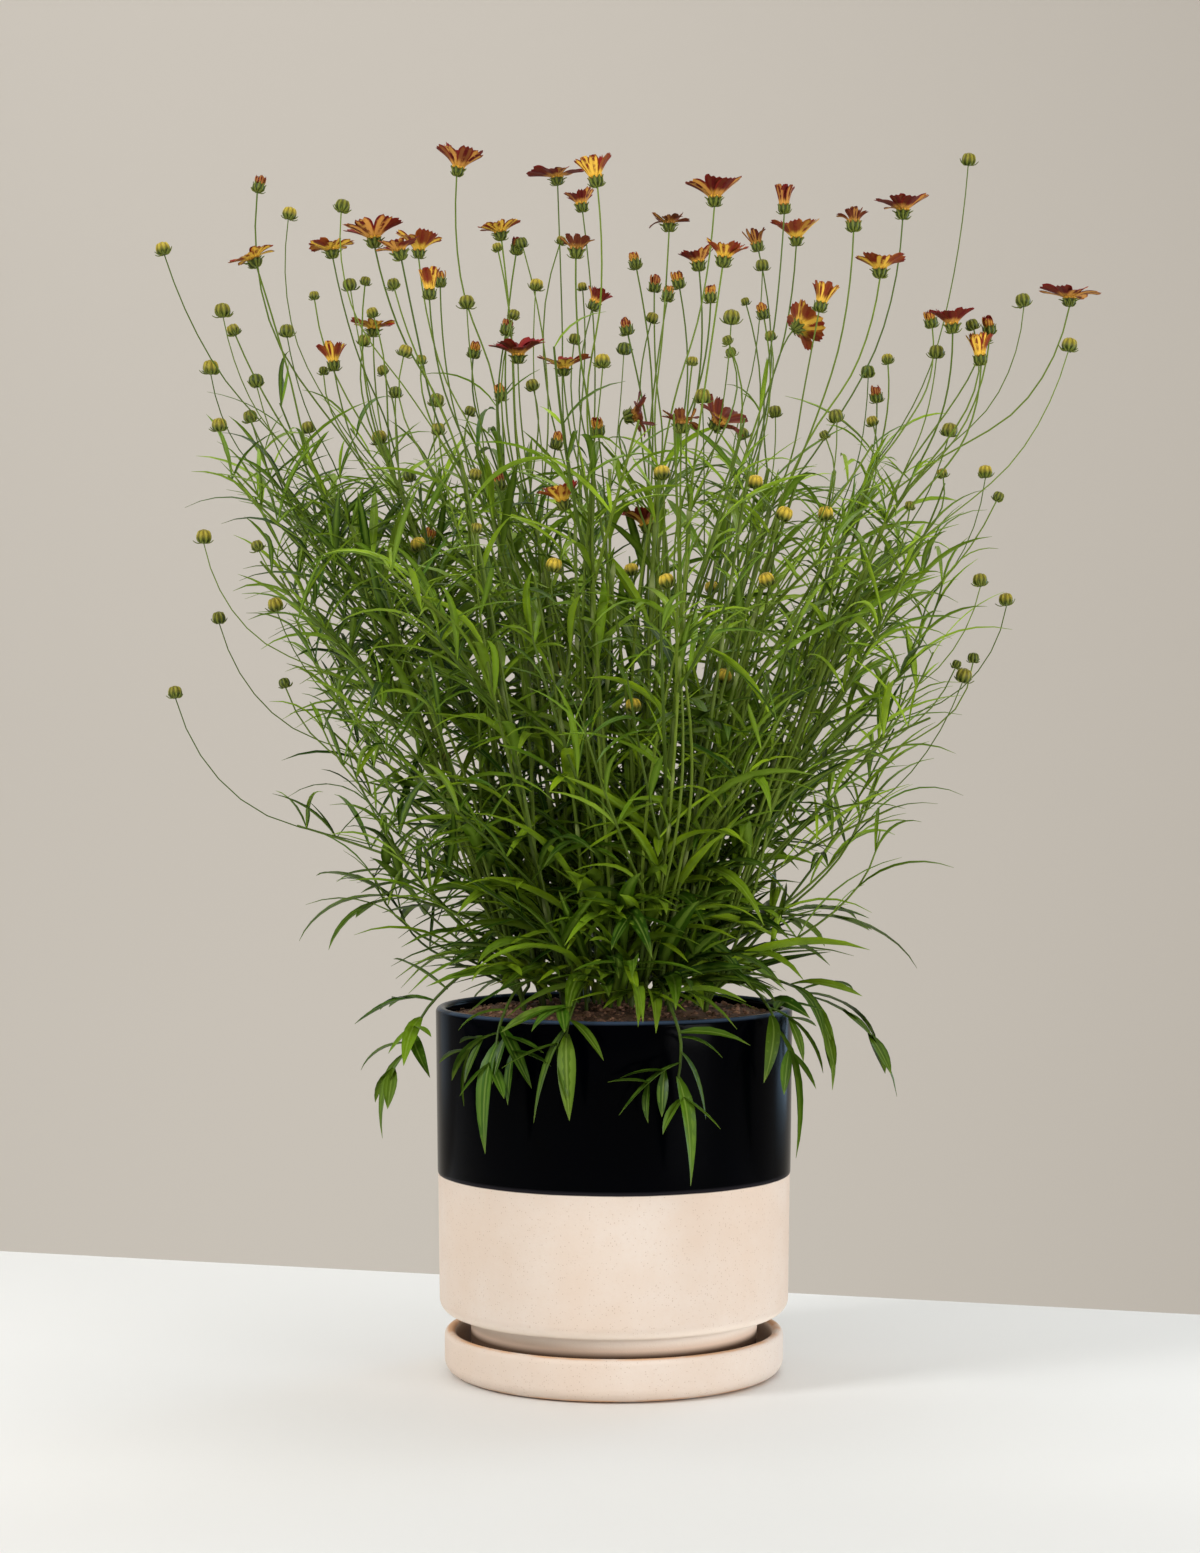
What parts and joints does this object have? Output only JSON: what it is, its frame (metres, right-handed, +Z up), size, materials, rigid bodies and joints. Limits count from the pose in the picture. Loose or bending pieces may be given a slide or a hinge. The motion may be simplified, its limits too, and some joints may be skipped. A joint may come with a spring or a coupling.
{
  "type": "potted coreopsis plant",
  "caption": "Flowering coreopsis clump with slender leafy stems, buds and red and gold blooms, growing in a two-tone ceramic pot on a matching saucer.",
  "frame": {"origin": "centre of the saucer's flat underside, on the surface the plant stands on", "axes": "+Z up along the pot's axis; the front of the plant looks towards -Y, +X is its right as seen from the front"},
  "size_m": [0.527, 0.4064, 0.7082],
  "materials": {
    "glazed_stoneware": "gloss",
    "bisque_stoneware": "matte",
    "soil": "matte",
    "foliage": "matte",
    "crimson_petal": "matte",
    "golden_petal": "matte",
    "faded_petal": "matte"
  },
  "bodies": {
    "root": {"pot": "glazed_stoneware", "saucer": "bisque_stoneware", "soil": "soil", "stem_01": "foliage", "stem_02": "foliage", "stem_03": "foliage", "stem_04": "foliage", "stem_05": "foliage", "stem_06": "foliage", "stem_07": "foliage", "stem_08": "foliage", "stem_09": "foliage", "stem_10": "foliage", "stem_11": "foliage", "stem_12": "foliage", "stem_13": "foliage", "stem_14": "foliage", "stem_15": "foliage", "stem_16": "foliage", "stem_17": "foliage", "stem_18": "foliage", "stem_19": "foliage", "stem_20": "foliage", "bloom_01": "crimson_petal", "bloom_02": "crimson_petal", "bloom_03": "golden_petal", "bloom_04": "crimson_petal", "bloom_05": "faded_petal", "bloom_06": "golden_petal", "bloom_07": "golden_petal", "bloom_08": "crimson_petal", "bloom_09": "crimson_petal", "bloom_10": "golden_petal", "bloom_11": "golden_petal", "bloom_12": "golden_petal", "bloom_13": "golden_petal", "bloom_14": "crimson_petal", "bloom_15": "golden_petal", "bloom_16": "golden_petal", "bloom_17": "crimson_petal", "bloom_18": "faded_petal", "bloom_19": "faded_petal", "bloom_20": "faded_petal", "bloom_21": "faded_petal", "bloom_22": "crimson_petal", "bloom_23": "crimson_petal", "bloom_24": "golden_petal", "bloom_25": "faded_petal", "bloom_26": "crimson_petal", "bloom_27": "golden_petal", "bloom_28": "faded_petal", "bloom_29": "crimson_petal", "bloom_30": "golden_petal", "bloom_31": "golden_petal", "bloom_32": "golden_petal", "bloom_33": "crimson_petal", "bloom_34": "golden_petal", "bloom_35": "crimson_petal", "bloom_36": "golden_petal", "bloom_37": "crimson_petal"}
  },
  "joints": []
}
